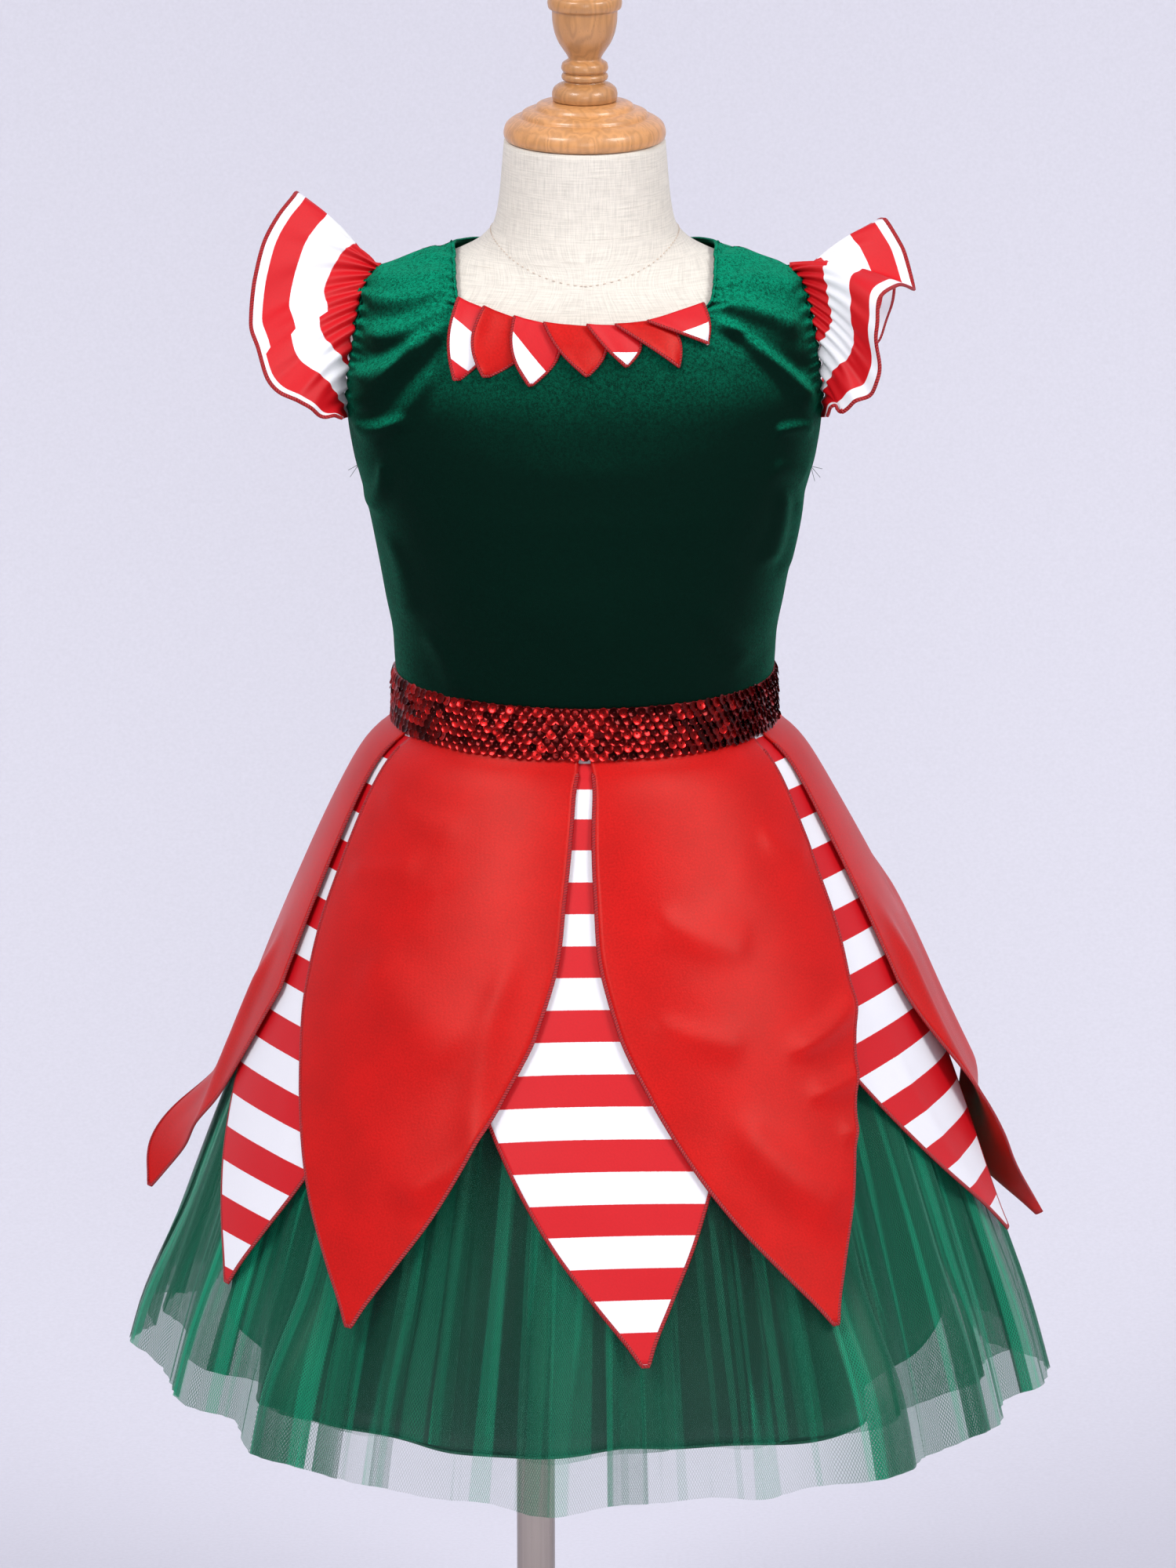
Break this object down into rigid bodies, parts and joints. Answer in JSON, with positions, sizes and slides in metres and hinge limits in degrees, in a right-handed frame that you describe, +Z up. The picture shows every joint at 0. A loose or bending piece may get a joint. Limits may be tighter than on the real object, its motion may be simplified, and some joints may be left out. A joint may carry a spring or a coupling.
{
  "type": "elf costume dress on a limbless dress form",
  "caption": "Sleeveless velvet elf dress with striped flutter sleeves, curled leaf neckline, sequin belt, petal skirt and tulle underskirts, on a linen dress form with a pole stand.",
  "frame": {"origin": "point on the floor, in the plane of the base's flat underside, under the middle of the garment", "axes": "+Z up, front of the dress faces -Y, +X to the right of a viewer who stands in front of it"},
  "size_m": [0.5007, 0.4732, 1.082],
  "materials": {
    "linen": "matte off-white woven linen",
    "wood": "satin varnish, honey brown, turned",
    "stand_metal": "satin grey steel with a champagne cast",
    "velvet": "dark green stretch velvet, short pile",
    "red_satin": "soft red satin with a broad sheen",
    "striped_satin": "satin in even red and white stripes",
    "sequin": "rows of small glossy red cupped sequins",
    "tulle": "green see-through net, matte",
    "lining_satin": "dark green satin lining, low sheen"
  },
  "bodies": {
    "root": {"form_torso": "linen", "form_neck_cap": "wood", "form_finial": "wood", "stand_base": "stand_metal", "stand_pole": "stand_metal", "bodice_front": "velvet", "bodice_back": "velvet", "sleeve_left": "striped_satin", "sleeve_right": "striped_satin", "belt": "sequin", "tulle_outer": "tulle", "tulle_inner": "tulle", "skirt_lining": "lining_satin", "neck_leaf_1": "striped_satin", "neck_leaf_2": "red_satin", "neck_leaf_3": "striped_satin", "neck_leaf_4": "red_satin", "neck_leaf_5": "striped_satin", "neck_leaf_6": "red_satin", "neck_leaf_7": "striped_satin", "petal_red_front_left": "red_satin", "petal_red_front_right": "red_satin", "petal_red_side_left": "red_satin", "petal_red_side_right": "red_satin", "petal_red_back_left": "red_satin", "petal_red_back_right": "red_satin", "petal_striped_front": "striped_satin", "petal_striped_left": "striped_satin", "petal_striped_right": "striped_satin", "petal_striped_back_left": "striped_satin", "petal_striped_back_right": "striped_satin", "petal_striped_back": "striped_satin"}
  },
  "joints": []
}
